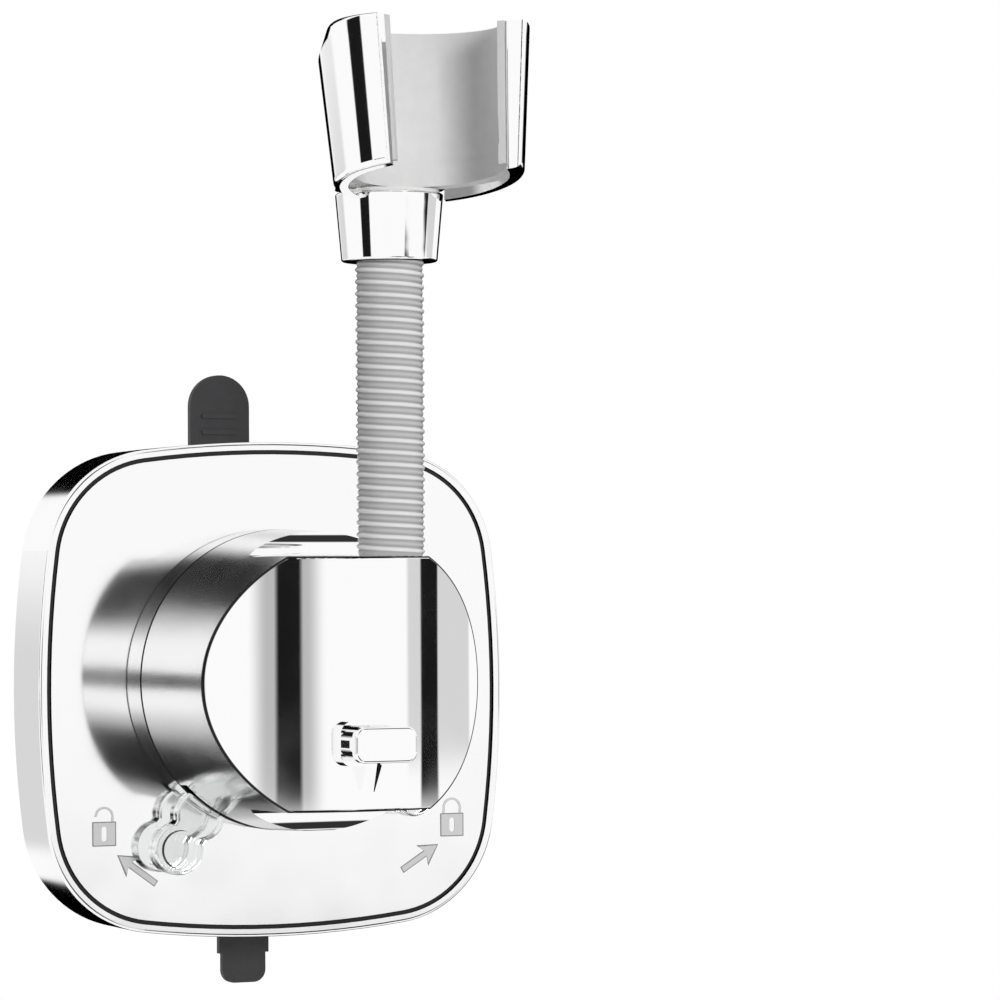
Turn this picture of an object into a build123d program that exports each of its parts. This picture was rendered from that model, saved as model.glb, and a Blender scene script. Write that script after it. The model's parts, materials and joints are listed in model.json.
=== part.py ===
from build123d import *
import os
from math import atan2, cos, degrees, radians, sin, sqrt, tan

# A hand shower holder that a suction pad holds to the wall.
# The wall is the plane Y = 0, the front faces -Y and +Z is up.
# A depth below is a distance from the wall towards the front, in millimetres.

# Base plate: a rounded square shell
plate_size = 100.0
plate_side_radius = 217.0
plate_corner_radius = 23.2
plate_back = 2.0
plate_depth = 16.3
plate_wall = 2.2
plate_face = 2.5
plate_ledge = 2.6
rim_width = 1.6
rim_round = 0.7
groove_width = 0.9
groove_depth = 0.5

# Suction pad with its two pull tabs
pad_thickness = 3.2
pad_bead_width = 2.2
pad_bead_height = 8.0
pad_gap = 0.3
pad_hub_radius = 18.0
pad_hub_height = 6.2
tab_lift = 0.2
tab_thickness = 1.5
tab_line_width = 1.0
tab_line_length = 8.0
tab_line_height = 0.4
tab_line_pitch = 3.3
top_tab_x = -5.5
top_tab_width = 12.9
top_tab_reach = 64.2
top_tab_line_z = 52.5
bottom_tab_x = -0.7
bottom_tab_width = 9.4
bottom_tab_reach = 60.6
bottom_tab_corner = 2.6
bottom_ear_width = 10.8
bottom_ear_reach = 54.5

# Drum: rear collar and front body on one axis
drum_axis_z = 2.0
drum_radius = 30.3
drum_taper = 2.3
drum_wall = 2.0
collar_length = 4.3
collar_floor = 2.0
neck_setback = 2.8
front_radius = 41.3
front_edge_round = 0.5
seam_chamfer = 0.35
flat_height = 24.6
flat_start = 42.0
scoop_radius = 4.8
boss_radius = 4.2
boss_reach = 23.9
boss_end = 38.0
boss_angles = (10, 90, 170)

# Pull stud, nut and lever that draw the pad off the wall
stud_radius = 5.0
stud_end = 36.6
stud_foot_radius = 14.0
stud_foot_start = 2.4
stud_foot_thickness = 1.8
stud_flat = 0.8
running_gap = 0.05
hub_radius = 9.0
hub_start = 10.6
hub_counterbore = 8.0
spring_gap = 0.6
spring_flat = 1.6
spring_thickness = 1.2
spring_inset = 3.0
washer_thickness = 0.9
washer_radius = 11.0
pull_nut_length = 11.6
nut_hub_radius = 9.0
nut_flange_radius = 18.0
nut_flange_thickness = 1.8
lever_ring_inner = 9.6
lever_ring_thickness = 2.6
lever_start = 20.9
lever_thickness = 5.2
lever_arm_width = 7.0
lever_root_lobe_reach = 32.7
lever_root_lobe_radius = 5.1
lever_knob_reach = 40.7
lever_knob_radius = 5.1
lever_pad_radius = 3.9
lever_pad_height = 0.9
lever_edge_round = 0.7
lever_rest_angle = 35.0
lever_screw_reach = 13.8
stop_angle = 49.0
stop_reach = 36.2
stop_radius = 4.4
stop_arm_width = 7.0
stop_root_width = 7.4
slot_gap = 0.6
lobe_gap = 0.35
slot_margin_angle = 12.0
clip_thickness = 0.8
clip_groove_radius = 4.3
end_washer_radius = 8.0

# Screws
screw_radius = 2.0
screw_head_radius = 3.6
screw_head_height = 2.2
screw_gap = 0.1
screw_end_gap = 5.0
small_screw_radius = 1.2
small_screw_head_radius = 2.2
small_screw_head_height = 1.2

# Gooseneck: a steel core in a ribbed sleeve
neck_x = 9.3
neck_depth = 57.0
sleeve_radius = 6.75
sleeve_bore = 3.6
rib_pitch = 2.35
rib_height = 0.5
sleeve_length = 61.5
core_radius = 3.3
core_insert = 8.6
core_top_insert = 4.6
ferrule_radius = 4.2
ferrule_length = 16.0
ferrule_head_radius = 6.5
ferrule_cap = 2.0
socket_radius = 5.85
socket_floor = 2.5
neck_bolt_radius = 1.8

# Conical collar nut and the swivel on top of it
nut_overlap = 4.05
nut_length = 13.3
nut_bottom_radius = 9.4
nut_top_radius = 10.6
spigot_radius = 3.0
spigot_length = 10.0
spigot_groove_rise = 7.1
spigot_groove_depth = 0.7
spigot_groove_height = 1.7
friction_ring_thickness = 0.6

# Cradle: a tapered C-shaped shell and its liner
cradle_offset = 18.4
cradle_lean = 5.5
cradle_mid_rise = 15.6
cradle_top_rise = 31.3
cradle_front_bottom_rise = 2.4
cradle_front_reach = 10.3
cradle_bottom_slope = 10.0
liner_bottom_rise = 3.6
liner_bottom_slope = 6.6
cradle_bore = 14.6
cradle_bore_taper = 2.1
cradle_outer_taper = 4.6
liner_wall = 1.4
shell_wall = 3.45
liner_gap = 0.05
liner_band_start = -9.0
liner_band_length = 6.0
mouth_inner_width = 21.8
mouth_angle = 43.0
mouth_gap = 0.4
jaw_round = 0.8
bottom_round = 1.2
bevel_offset = 2.3
bevel_top_radius = 19.26
bevel_angle = 17.4
rim_edge_round = 1.5
root_taper = 9.0
root_height = 16.0
swivel_clearance = 0.6

# Hook on the front
hook_z = -9.4
hook_base_width = 13.2
hook_base_height = 8.6
hook_base_length = 3.6
hook_corner = 2.3
hook_reach = 76.8
hook_plate_width = 12.7
hook_plate_height = 6.9
hook_plate_thickness = 1.9
hook_plate_corner = 2.0
hook_shank_width = 11.4
hook_shank_height = 5.4
hook_prong_depth = 70.2
hook_prong_width = 4.2
hook_prong_drop = 9.2
hook_stud_radius = 1.8
hook_stud_length = 7.0
hook_nut_radius = 3.4
hook_nut_thickness = 2.4

# Overlap that lets a cut run past the surface it opens
cut_margin = 5.0

os.makedirs("parts", exist_ok=True)

plate_front = plate_back + plate_depth
seam_depth = plate_front + collar_length
side_edge_depth = neck_depth - neck_setback
front_end_radius = drum_radius - (side_edge_depth - seam_depth) * tan(radians(drum_taper))
front_centre = side_edge_depth - sqrt(front_radius**2 - front_end_radius**2)
front_depth = front_centre + front_radius
flat_z = drum_axis_z + flat_height
screw_length = boss_end - screw_end_gap - (plate_front - plate_face)
washer_start = plate_front + collar_floor
nut_start = washer_start + washer_thickness + running_gap
nut_end = nut_start + pull_nut_length
lever_ring_start = nut_start + nut_flange_thickness
cradle_depth = neck_depth + cradle_offset
sleeve_bottom = flat_z + running_gap
sleeve_top = sleeve_bottom + sleeve_length
core_bottom = flat_z - core_insert
core_top = sleeve_top + core_top_insert
nut_bottom_z = sleeve_top - nut_overlap
nut_top_z = nut_bottom_z + nut_length
spigot_groove_z = nut_top_z + spigot_groove_rise
cradle_mid_z = nut_top_z + cradle_mid_rise
cradle_top_z = nut_top_z + cradle_top_rise
cradle_front_bottom_z = nut_top_z + cradle_front_bottom_rise
slot_end = lever_ring_start + lever_ring_thickness + slot_gap


def front_plane(depth, z=0.0, x=0.0):
    """A plane at this depth that faces the front, with its y direction up."""
    return Plane(origin=(x, -depth, z), x_dir=(1, 0, 0), z_dir=(0, -1, 0))


def drum_plane(depth):
    """A front plane whose origin is on the drum's axis."""
    return front_plane(depth, drum_axis_z)


def level_plane(z):
    """A horizontal plane whose origin is on the gooseneck's axis."""
    return Plane(origin=(neck_x, -neck_depth, z), x_dir=(1, 0, 0), z_dir=(0, 0, 1))


def below(angle):
    """Polar angle in a front plane of a direction this far left of straight down."""
    return 270.0 - angle


def export(piece, name):
    """Label a finished piece and write its file."""
    piece.part.label = name
    export_step(piece.part, "parts/" + name + ".step")


def squircle(inset):
    """The plate's outline, moved inwards: four long arcs and four corner arcs."""
    side = plate_side_radius - inset
    corner = plate_corner_radius - inset
    side_centre = plate_size / 2 - plate_side_radius
    span = side - corner
    corner_centre = (side_centre + sqrt(2 * span**2 - side_centre**2)) / 2
    half_angle = degrees(atan2(corner_centre, corner_centre - side_centre))
    with BuildSketch() as outline:
        with BuildLine():
            for turn in (0, 90, 180, 270):
                side_point = (side_centre * cos(radians(turn)), side_centre * sin(radians(turn)))
                CenterArc(side_point, side, turn - half_angle, 2 * half_angle)
                reach = corner_centre * sqrt(2)
                corner_point = (reach * cos(radians(turn + 45)), reach * sin(radians(turn + 45)))
                CenterArc(corner_point, corner, turn + half_angle, 90 - 2 * half_angle)
        make_face()
    return outline.sketch


def slot_sector():
    """The sector of a front plane that the lever's slot takes up."""
    start = below(lever_rest_angle + slot_margin_angle)
    turn = lever_rest_angle + stop_angle + 2 * slot_margin_angle
    reach = 2 * drum_radius
    end = start + turn
    with BuildSketch() as sector:
        with BuildLine():
            Line((0, 0), (reach * cos(radians(start)), reach * sin(radians(start))))
            CenterArc((0, 0), reach, start, turn)
            Line((reach * cos(radians(end)), reach * sin(radians(end))), (0, 0))
        make_face()
        Circle(drum_radius - 2 * drum_wall, mode=Mode.SUBTRACT)
    return sector.sketch


# Base plate
with BuildPart() as base_plate:
    with BuildSketch(front_plane(plate_back)):
        add(squircle(0))
    extrude(amount=plate_depth)
    fillet(base_plate.edges().group_by(Axis.Y)[0], rim_round)
    with BuildSketch(front_plane(plate_back)):
        add(squircle(plate_wall))
    extrude(amount=pad_bead_height - plate_back + pad_gap, mode=Mode.SUBTRACT)
    with BuildSketch(front_plane(plate_back)):
        add(squircle(plate_wall + plate_ledge))
    extrude(amount=plate_depth - plate_face, mode=Mode.SUBTRACT)
    with BuildSketch(front_plane(plate_front)):
        add(squircle(rim_width))
        add(squircle(rim_width + groove_width), mode=Mode.SUBTRACT)
    extrude(amount=-groove_depth, mode=Mode.SUBTRACT)
    with BuildSketch(drum_plane(hub_start)):
        Circle(hub_radius)
    extrude(amount=plate_front - plate_face - hub_start)
    with BuildSketch(drum_plane(hub_start)):
        Circle(stud_radius + running_gap)
        with Locations((0, stud_radius - stud_flat + running_gap)):
            Rectangle(2 * stud_radius, 2, align=(Align.CENTER, Align.MIN), mode=Mode.SUBTRACT)
    extrude(amount=plate_front - hub_start, mode=Mode.SUBTRACT)
    with BuildSketch(drum_plane(plate_front)):
        for angle in boss_angles:
            with PolarLocations(boss_reach, 1, start_angle=angle):
                Circle(screw_radius + screw_gap)
    extrude(amount=-plate_face, mode=Mode.SUBTRACT)
export(base_plate, "base_plate")

# Suction pad: flat against the wall, with a bead under the plate's ledge and a hub on the stud
pad_inset = plate_wall + pad_gap
with BuildPart() as suction_pad:
    with BuildSketch(front_plane(0)):
        add(squircle(pad_inset))
    extrude(amount=pad_thickness)
    with BuildSketch(front_plane(pad_thickness)):
        add(squircle(pad_inset))
        add(squircle(pad_inset + pad_bead_width), mode=Mode.SUBTRACT)
    extrude(amount=pad_bead_height - pad_thickness)
    with BuildSketch(drum_plane(pad_thickness)):
        Circle(pad_hub_radius)
    extrude(amount=pad_hub_height - pad_thickness, taper=12)
    with BuildSketch(drum_plane(stud_foot_start - running_gap)):
        Circle(stud_foot_radius + running_gap)
    extrude(amount=stud_foot_thickness + 2 * running_gap, mode=Mode.SUBTRACT)
    with BuildSketch(drum_plane(stud_foot_start)):
        Circle(stud_radius + running_gap)
    extrude(amount=pad_hub_height, mode=Mode.SUBTRACT)
    with BuildSketch(front_plane(tab_lift)) as tab_outline:
        with Locations((top_tab_x, top_tab_reach - top_tab_width / 2)):
            Circle(top_tab_width / 2)
        with Locations((top_tab_x, plate_size / 2 - 2 * plate_wall)):
            Rectangle(
                top_tab_width,
                top_tab_reach - top_tab_width / 2 - plate_size / 2 + 2 * plate_wall,
                align=(Align.CENTER, Align.MIN),
            )
        with Locations((bottom_tab_x, 2 * plate_wall - plate_size / 2)):
            Rectangle(
                bottom_ear_width,
                bottom_ear_reach - plate_size / 2 + 2 * plate_wall,
                align=(Align.CENTER, Align.MAX),
            )
        with Locations((bottom_tab_x, -bottom_tab_reach)):
            Rectangle(bottom_tab_width, 2 * bottom_tab_corner, align=(Align.CENTER, Align.MIN))
        with Locations((bottom_tab_x, -bottom_ear_reach)):
            Rectangle(
                bottom_tab_width,
                bottom_tab_reach - bottom_ear_reach - bottom_tab_corner,
                align=(Align.CENTER, Align.MAX),
            )
        fillet(tab_outline.vertices().group_by(Axis.Y)[0], bottom_tab_corner)
    extrude(amount=tab_thickness)
    with BuildSketch(front_plane(tab_lift + tab_thickness)):
        for row in (0, 1):
            with Locations((top_tab_x, top_tab_line_z + row * tab_line_pitch)):
                SlotOverall(tab_line_length, tab_line_width)
    extrude(amount=tab_line_height)
export(suction_pad, "suction_pad")

# Pull stud: foot in the pad's hub, shank with one flat through the plate's hub
with BuildPart() as pull_stud:
    with BuildSketch(drum_plane(stud_foot_start)):
        Circle(stud_foot_radius)
    extrude(amount=stud_foot_thickness)
    with BuildSketch(drum_plane(stud_foot_start)):
        Circle(stud_radius)
        with Locations((0, stud_radius - stud_flat)):
            Rectangle(2 * stud_radius, 2, align=(Align.CENTER, Align.MIN), mode=Mode.SUBTRACT)
    extrude(amount=stud_end - stud_foot_start)
    clip_depth = nut_end + washer_thickness + 2 * running_gap
    with BuildSketch(drum_plane(clip_depth)):
        Circle(stud_radius + 1)
        Circle(clip_groove_radius, mode=Mode.SUBTRACT)
    extrude(amount=clip_thickness + running_gap, mode=Mode.SUBTRACT)
    chamfer(pull_stud.edges().group_by(Axis.Y)[0], 0.6)
export(pull_stud, "pull_stud")

# Disc spring that pushes the pad's hub back to the wall
with BuildPart() as disc_spring:
    with BuildSketch(Plane(origin=(0, 0, drum_axis_z), x_dir=(1, 0, 0), z_dir=(0, 0, 1))):
        with BuildLine():
            Polyline(
                (stud_radius + spring_gap, -(hub_start - running_gap)),
                (stud_radius + spring_gap + spring_flat, -(hub_start - running_gap)),
                (pad_hub_radius - spring_inset, -(pad_hub_height + running_gap + spring_thickness)),
                (pad_hub_radius - spring_inset, -(pad_hub_height + running_gap)),
                (pad_hub_radius - spring_inset - spring_flat, -(pad_hub_height + running_gap)),
                (stud_radius + spring_gap, -(hub_start - running_gap - spring_thickness)),
                close=True,
            )
        make_face()
    revolve(axis=Axis((0, 0, drum_axis_z), (0, 1, 0)))
export(disc_spring, "disc_spring")

# Rear collar: a shallow cup on the plate's face
with BuildPart() as rear_collar:
    with BuildSketch(drum_plane(plate_front)):
        Circle(drum_radius)
    extrude(amount=collar_length)
    chamfer(rear_collar.faces().sort_by(Axis.Y)[0].edges(), seam_chamfer)
    with BuildSketch(drum_plane(plate_front + collar_floor)):
        Circle(drum_radius - drum_wall)
    extrude(amount=collar_length, mode=Mode.SUBTRACT)
    with BuildSketch(drum_plane(plate_front)):
        Circle(hub_counterbore)
        for angle in boss_angles:
            with PolarLocations(boss_reach, 1, start_angle=angle):
                Circle(screw_radius + screw_gap)
    extrude(amount=collar_floor, mode=Mode.SUBTRACT)
export(rear_collar, "rear_collar")

# Front body of the drum: a tapered cylinder with a barrel front, cut flat above and below
barrel_height = 3 * drum_radius
with BuildPart() as drum_body:
    with BuildSketch(drum_plane(seam_depth)):
        Circle(drum_radius)
    extrude(amount=front_depth - seam_depth, taper=drum_taper)
    chamfer(drum_body.faces().sort_by(Axis.Y)[-1].edges(), seam_chamfer)
    with Locations((0, -front_centre, drum_axis_z)):
        Cylinder(front_radius, barrel_height, mode=Mode.INTERSECT)
    side_plane = Plane(origin=(0, 0, drum_axis_z), x_dir=(0, -1, 0), z_dir=(-1, 0, 0))
    with BuildSketch(side_plane):
        with BuildLine():
            scoop_corner = (flat_start + scoop_radius, flat_height + scoop_radius)
            CenterArc(scoop_corner, scoop_radius, 180, 90)
            Polyline(
                (flat_start + scoop_radius, flat_height),
                (front_depth + cut_margin, flat_height),
                (front_depth + cut_margin, 2 * drum_radius),
                (flat_start, 2 * drum_radius),
                (flat_start, flat_height + scoop_radius),
            )
        make_face()
        mirror(about=Plane.XZ)
    extrude(amount=2 * drum_radius, both=True, mode=Mode.SUBTRACT)
    front_edges = drum_body.faces().sort_by(Axis.Y)[0].edges()
    fillet(front_edges, front_edge_round)

# Hollow of the front body
with BuildPart() as drum_hollow:
    with BuildSketch(drum_plane(seam_depth)):
        Circle(drum_radius - drum_wall)
    extrude(amount=front_depth - seam_depth, taper=drum_taper)
    with Locations((0, -front_centre, drum_axis_z)):
        Cylinder(front_radius - drum_wall, barrel_height, mode=Mode.INTERSECT)
    with BuildSketch(side_plane):
        with Locations((flat_start - drum_wall, flat_height - drum_wall)):
            Rectangle(2 * drum_radius, 2 * drum_radius, align=(Align.MIN, Align.MIN))
        mirror(about=Plane.XZ)
    extrude(amount=2 * drum_radius, both=True, mode=Mode.SUBTRACT)

socket_bottom = flat_z - ferrule_length - socket_floor
with BuildPart() as drum_body_finished:
    add(drum_body.part)
    add(drum_hollow.part, mode=Mode.SUBTRACT)
    with BuildSketch(drum_plane(washer_start + 0.1)):
        for angle in boss_angles:
            with PolarLocations(boss_reach, 1, start_angle=angle):
                Circle(boss_radius)
    extrude(amount=boss_end - washer_start - 0.1)
    with BuildSketch(drum_plane(washer_start + 0.1)):
        for angle in boss_angles:
            with PolarLocations(boss_reach, 1, start_angle=angle):
                Circle(screw_radius + running_gap)
    extrude(amount=boss_end - washer_start - 2, mode=Mode.SUBTRACT)
    with BuildSketch(level_plane(socket_bottom)):
        Circle(socket_radius)
    extrude(amount=flat_z - socket_bottom - drum_wall / 2)
    with BuildSketch(level_plane(socket_bottom + socket_floor)):
        Circle(ferrule_radius + running_gap)
    extrude(amount=2 * drum_radius, mode=Mode.SUBTRACT)
    with BuildSketch(level_plane(socket_bottom)):
        Circle(neck_bolt_radius + screw_gap)
    extrude(amount=socket_floor, mode=Mode.SUBTRACT)
    with BuildSketch(drum_plane(seam_depth)):
        add(slot_sector())
    extrude(amount=slot_end - seam_depth, mode=Mode.SUBTRACT)
    with BuildSketch(front_plane(front_depth - drum_wall, hook_z)):
        Circle(hook_nut_radius + 0.5)
    extrude(amount=-2 * drum_wall, mode=Mode.SUBTRACT)
    with BuildSketch(front_plane(front_depth - 2 * drum_wall, hook_z)):
        Circle(hook_stud_radius + screw_gap)
    extrude(amount=4 * drum_wall, mode=Mode.SUBTRACT)
export(drum_body_finished, "drum_body")

# Screws from inside the plate into the drum's bosses
with BuildPart() as body_screws:
    with BuildSketch(drum_plane(plate_front - plate_face - screw_head_height)):
        for angle in boss_angles:
            with PolarLocations(boss_reach, 1, start_angle=angle):
                Circle(screw_head_radius)
    extrude(amount=screw_head_height)
    with BuildSketch(drum_plane(plate_front - plate_face)):
        for angle in boss_angles:
            with PolarLocations(boss_reach, 1, start_angle=angle):
                Circle(screw_radius)
    extrude(amount=screw_length)
export(body_screws, "body_screws")

# Thrust washer under the nut
with BuildPart() as thrust_washer:
    with BuildSketch(drum_plane(washer_start)):
        Circle(washer_radius)
        Circle(stud_radius + 3 * running_gap, mode=Mode.SUBTRACT)
    extrude(amount=washer_thickness)
export(thrust_washer, "thrust_washer")

# Pull nut: turns on the stud and carries the lever
lever_screw_spots = [45, 165, 285]
with BuildPart() as pull_nut:
    with BuildSketch(drum_plane(nut_start)):
        Circle(nut_flange_radius)
    extrude(amount=nut_flange_thickness)
    with BuildSketch(drum_plane(nut_start)):
        Circle(nut_hub_radius)
    extrude(amount=pull_nut_length)
    with BuildSketch(drum_plane(nut_start)):
        Circle(stud_radius + running_gap)
    extrude(amount=pull_nut_length, mode=Mode.SUBTRACT)
    with BuildSketch(drum_plane(nut_start)):
        for angle in lever_screw_spots:
            with PolarLocations(lever_screw_reach, 1, start_angle=angle):
                Circle(small_screw_radius + running_gap)
    extrude(amount=nut_flange_thickness, mode=Mode.SUBTRACT)
export(pull_nut, "pull_nut")

# Clear lever: a ring on the nut's flange, an arm through the slot and a figure-eight handle
lever_turn = below(lever_rest_angle)
lever_plane = Plane(
    origin=(0, -lever_start, drum_axis_z),
    x_dir=(cos(radians(lever_turn)), 0, sin(radians(lever_turn))),
    z_dir=(0, -1, 0),
)
with BuildPart() as lever:
    with BuildSketch(lever_plane) as lever_outline:
        with Locations((lever_root_lobe_reach, 0)):
            Circle(lever_root_lobe_radius)
        with Locations((lever_knob_reach, 0)):
            Circle(lever_knob_radius)
        with Locations(((lever_root_lobe_reach + lever_knob_reach) / 2, 0)):
            Rectangle(lever_knob_radius, 1.45 * lever_knob_radius)
    extrude(amount=lever_thickness)
    fillet(lever.edges().group_by(Axis.Y)[0], lever_edge_round)
    fillet(lever.edges().group_by(Axis.Y)[-1], lever_edge_round)
    with BuildSketch(lever_plane.offset(lever_thickness)):
        with Locations((lever_knob_reach, 0)):
            Circle(lever_pad_radius)
    extrude(amount=lever_pad_height, taper=10)
    with BuildSketch(drum_plane(lever_start - cut_margin)):
        Circle(drum_radius + lobe_gap)
    extrude(amount=lever_thickness + 2 * cut_margin, mode=Mode.SUBTRACT)
    with BuildSketch(drum_plane(lever_ring_start)):
        Circle(nut_flange_radius)
        Circle(lever_ring_inner, mode=Mode.SUBTRACT)
    extrude(amount=lever_ring_thickness)
    with BuildSketch(lever_plane.offset(lever_ring_start - lever_start)):
        with Locations((nut_flange_radius - 2, 0)):
            Rectangle(
                lever_root_lobe_reach - nut_flange_radius,
                lever_arm_width,
                align=(Align.MIN, Align.CENTER),
            )
    extrude(amount=lever_ring_thickness)
    with BuildSketch(drum_plane(lever_ring_start)):
        for angle in lever_screw_spots:
            with PolarLocations(lever_screw_reach, 1, start_angle=angle):
                Circle(small_screw_radius + running_gap)
    extrude(amount=lever_ring_thickness, mode=Mode.SUBTRACT)
export(lever, "lever")

# Screws that hold the lever's ring to the nut
lever_screw_start = lever_ring_start + lever_ring_thickness
with BuildPart() as lever_screws:
    with BuildSketch(drum_plane(lever_screw_start)):
        for angle in lever_screw_spots:
            with PolarLocations(lever_screw_reach, 1, start_angle=angle):
                Circle(small_screw_head_radius)
    extrude(amount=small_screw_head_height)
    with BuildSketch(drum_plane(lever_screw_start)):
        for angle in lever_screw_spots:
            with PolarLocations(lever_screw_reach, 1, start_angle=angle):
                Circle(small_screw_radius)
    extrude(amount=-(lever_ring_thickness + nut_flange_thickness - 0.3))
export(lever_screws, "lever_screws")

# Clear stop at the locked end of the lever's travel
stop_turn = below(-stop_angle)
stop_plane = Plane(
    origin=(0, -lever_start, drum_axis_z),
    x_dir=(cos(radians(stop_turn)), 0, sin(radians(stop_turn))),
    z_dir=(0, -1, 0),
)
with BuildPart() as lever_stop:
    with BuildSketch(stop_plane):
        with Locations((stop_reach, 0)):
            Circle(stop_radius)
        with Locations((drum_radius, 0)):
            Rectangle(stop_reach - drum_radius, stop_arm_width, align=(Align.MIN, Align.CENTER))
    extrude(amount=lever_thickness)
    fillet(lever_stop.edges().group_by(Axis.Y)[0], lever_edge_round)
    fillet(lever_stop.edges().group_by(Axis.Y)[-1], lever_edge_round)
    with BuildSketch(drum_plane(lever_start - cut_margin)):
        Circle(drum_radius + running_gap)
    extrude(amount=lever_thickness + 2 * cut_margin, mode=Mode.SUBTRACT)
    with BuildSketch(stop_plane.offset(seam_depth - lever_start)):
        with Locations((drum_radius - drum_wall, 0)):
            Rectangle(2 * drum_wall, stop_root_width, align=(Align.MIN, Align.CENTER))
    extrude(amount=slot_end - seam_depth - running_gap)
export(lever_stop, "lever_stop")

# Washer and clip on the stud's end
with BuildPart() as end_washer:
    with BuildSketch(drum_plane(nut_end + running_gap)):
        Circle(end_washer_radius)
        Circle(stud_radius + running_gap, mode=Mode.SUBTRACT)
    extrude(amount=washer_thickness)
export(end_washer, "end_washer")

with BuildPart() as stud_clip:
    with BuildSketch(drum_plane(clip_depth)):
        Circle(stud_radius + 2.0)
        Circle(clip_groove_radius + running_gap, mode=Mode.SUBTRACT)
        Rectangle(2 * clip_groove_radius - 1.6, 2 * stud_radius, align=(Align.CENTER, Align.MAX),
                  mode=Mode.SUBTRACT)
    extrude(amount=clip_thickness)
export(stud_clip, "stud_clip")

# Lower ferrule, crimped on the core and bolted into the drum's socket
ferrule_bottom = socket_bottom + socket_floor + running_gap
with BuildPart() as lower_ferrule:
    with BuildSketch(level_plane(ferrule_bottom)):
        Circle(ferrule_radius)
    extrude(amount=flat_z - ferrule_bottom)
    with BuildSketch(level_plane(flat_z)):
        Circle(core_radius + running_gap)
    extrude(amount=-(core_insert + running_gap), mode=Mode.SUBTRACT)
    with BuildSketch(level_plane(ferrule_bottom)):
        Circle(neck_bolt_radius + running_gap)
    extrude(amount=ferrule_length - core_insert - 2.0, mode=Mode.SUBTRACT)
export(lower_ferrule, "lower_ferrule")

with BuildPart() as neck_bolt:
    with BuildSketch(level_plane(socket_bottom - running_gap)):
        Circle(neck_bolt_radius)
    extrude(amount=ferrule_length - core_insert)
    with BuildSketch(level_plane(socket_bottom - running_gap)):
        RegularPolygon(socket_radius - 2.2, 6)
    extrude(amount=-2.4)
export(neck_bolt, "neck_bolt")

# Ribbed sleeve of the gooseneck
rib_count = int((sleeve_length - 1.0) / rib_pitch)
rib_start = (sleeve_length - rib_count * rib_pitch) / 2
rib_radius = (rib_pitch**2 / 4 + rib_height**2) / (2 * rib_height)
with BuildPart() as neck_sleeve:
    with BuildSketch(Plane(origin=(neck_x, -neck_depth, sleeve_bottom), x_dir=(1, 0, 0), z_dir=(0, -1, 0))):
        with BuildLine():
            root = sleeve_radius - rib_height
            Polyline((root, rib_start), (root, 0), (sleeve_bore, 0), (sleeve_bore, sleeve_length),
                     (root, sleeve_length), (root, sleeve_length - rib_start))
            for rib in range(rib_count):
                low = rib_start + rib * rib_pitch
                RadiusArc((root, low), (root, low + rib_pitch), -rib_radius)
        make_face()
    revolve(axis=Axis((neck_x, -neck_depth, 0), (0, 0, 1)))
export(neck_sleeve, "neck_sleeve")

# Steel core that keeps the neck where it is bent
with BuildPart() as neck_core:
    with BuildSketch(level_plane(core_bottom)):
        Circle(core_radius)
    extrude(amount=core_top - core_bottom)
export(neck_core, "neck_core")

# Conical collar nut over the sleeve's upper end
upper_ferrule_bottom = sleeve_top + running_gap
with BuildPart() as collar_nut:
    with BuildSketch(level_plane(nut_bottom_z)):
        Circle(nut_bottom_radius)
    with BuildSketch(level_plane(nut_top_z)):
        Circle(nut_top_radius)
    loft()
    fillet(collar_nut.edges().group_by(Axis.Z)[0], 0.5)
    fillet(collar_nut.edges().group_by(Axis.Z)[-1], 0.4)
    with BuildSketch(level_plane(nut_bottom_z)):
        Circle(sleeve_radius + 0.25)
    extrude(amount=sleeve_top - nut_bottom_z, mode=Mode.SUBTRACT)
    with BuildSketch(level_plane(nut_bottom_z)):
        Circle(ferrule_head_radius)
    extrude(amount=core_top + ferrule_cap - nut_bottom_z, mode=Mode.SUBTRACT)
    with BuildSketch(level_plane(nut_bottom_z)):
        Circle(spigot_radius + running_gap)
    extrude(amount=nut_top_z - nut_bottom_z, mode=Mode.SUBTRACT)
export(collar_nut, "collar_nut")

# Upper ferrule with the swivel spigot
with BuildPart() as upper_ferrule:
    with BuildSketch(level_plane(upper_ferrule_bottom)):
        Circle(ferrule_head_radius - running_gap)
    extrude(amount=core_top + ferrule_cap - upper_ferrule_bottom - running_gap)
    with BuildSketch(level_plane(core_top)):
        Circle(spigot_radius)
    extrude(amount=nut_top_z + spigot_length - core_top)
    with BuildSketch(level_plane(upper_ferrule_bottom)):
        Circle(core_radius + running_gap)
    extrude(amount=core_top + running_gap - upper_ferrule_bottom, mode=Mode.SUBTRACT)
    with BuildSketch(level_plane(spigot_groove_z - spigot_groove_height / 2)):
        Circle(spigot_radius + 1)
        Circle(spigot_radius - spigot_groove_depth, mode=Mode.SUBTRACT)
    extrude(amount=spigot_groove_height, mode=Mode.SUBTRACT)
export(upper_ferrule, "upper_ferrule")

with BuildPart() as friction_ring:
    with BuildSketch(level_plane(nut_top_z + running_gap)):
        Circle(nut_top_radius - 0.8)
        Circle(spigot_radius + 2 * running_gap, mode=Mode.SUBTRACT)
    extrude(amount=friction_ring_thickness)
export(friction_ring, "friction_ring")

# Cradle shell
root_z = nut_top_z + friction_ring_thickness + 2 * running_gap
cup_plane = Plane(
    origin=(neck_x, -cradle_depth, cradle_mid_z),
    x_dir=(1, 0, 0),
    z_dir=(0, sin(radians(cradle_lean)), cos(radians(cradle_lean))),
)
cup_half = 24.0


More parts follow.
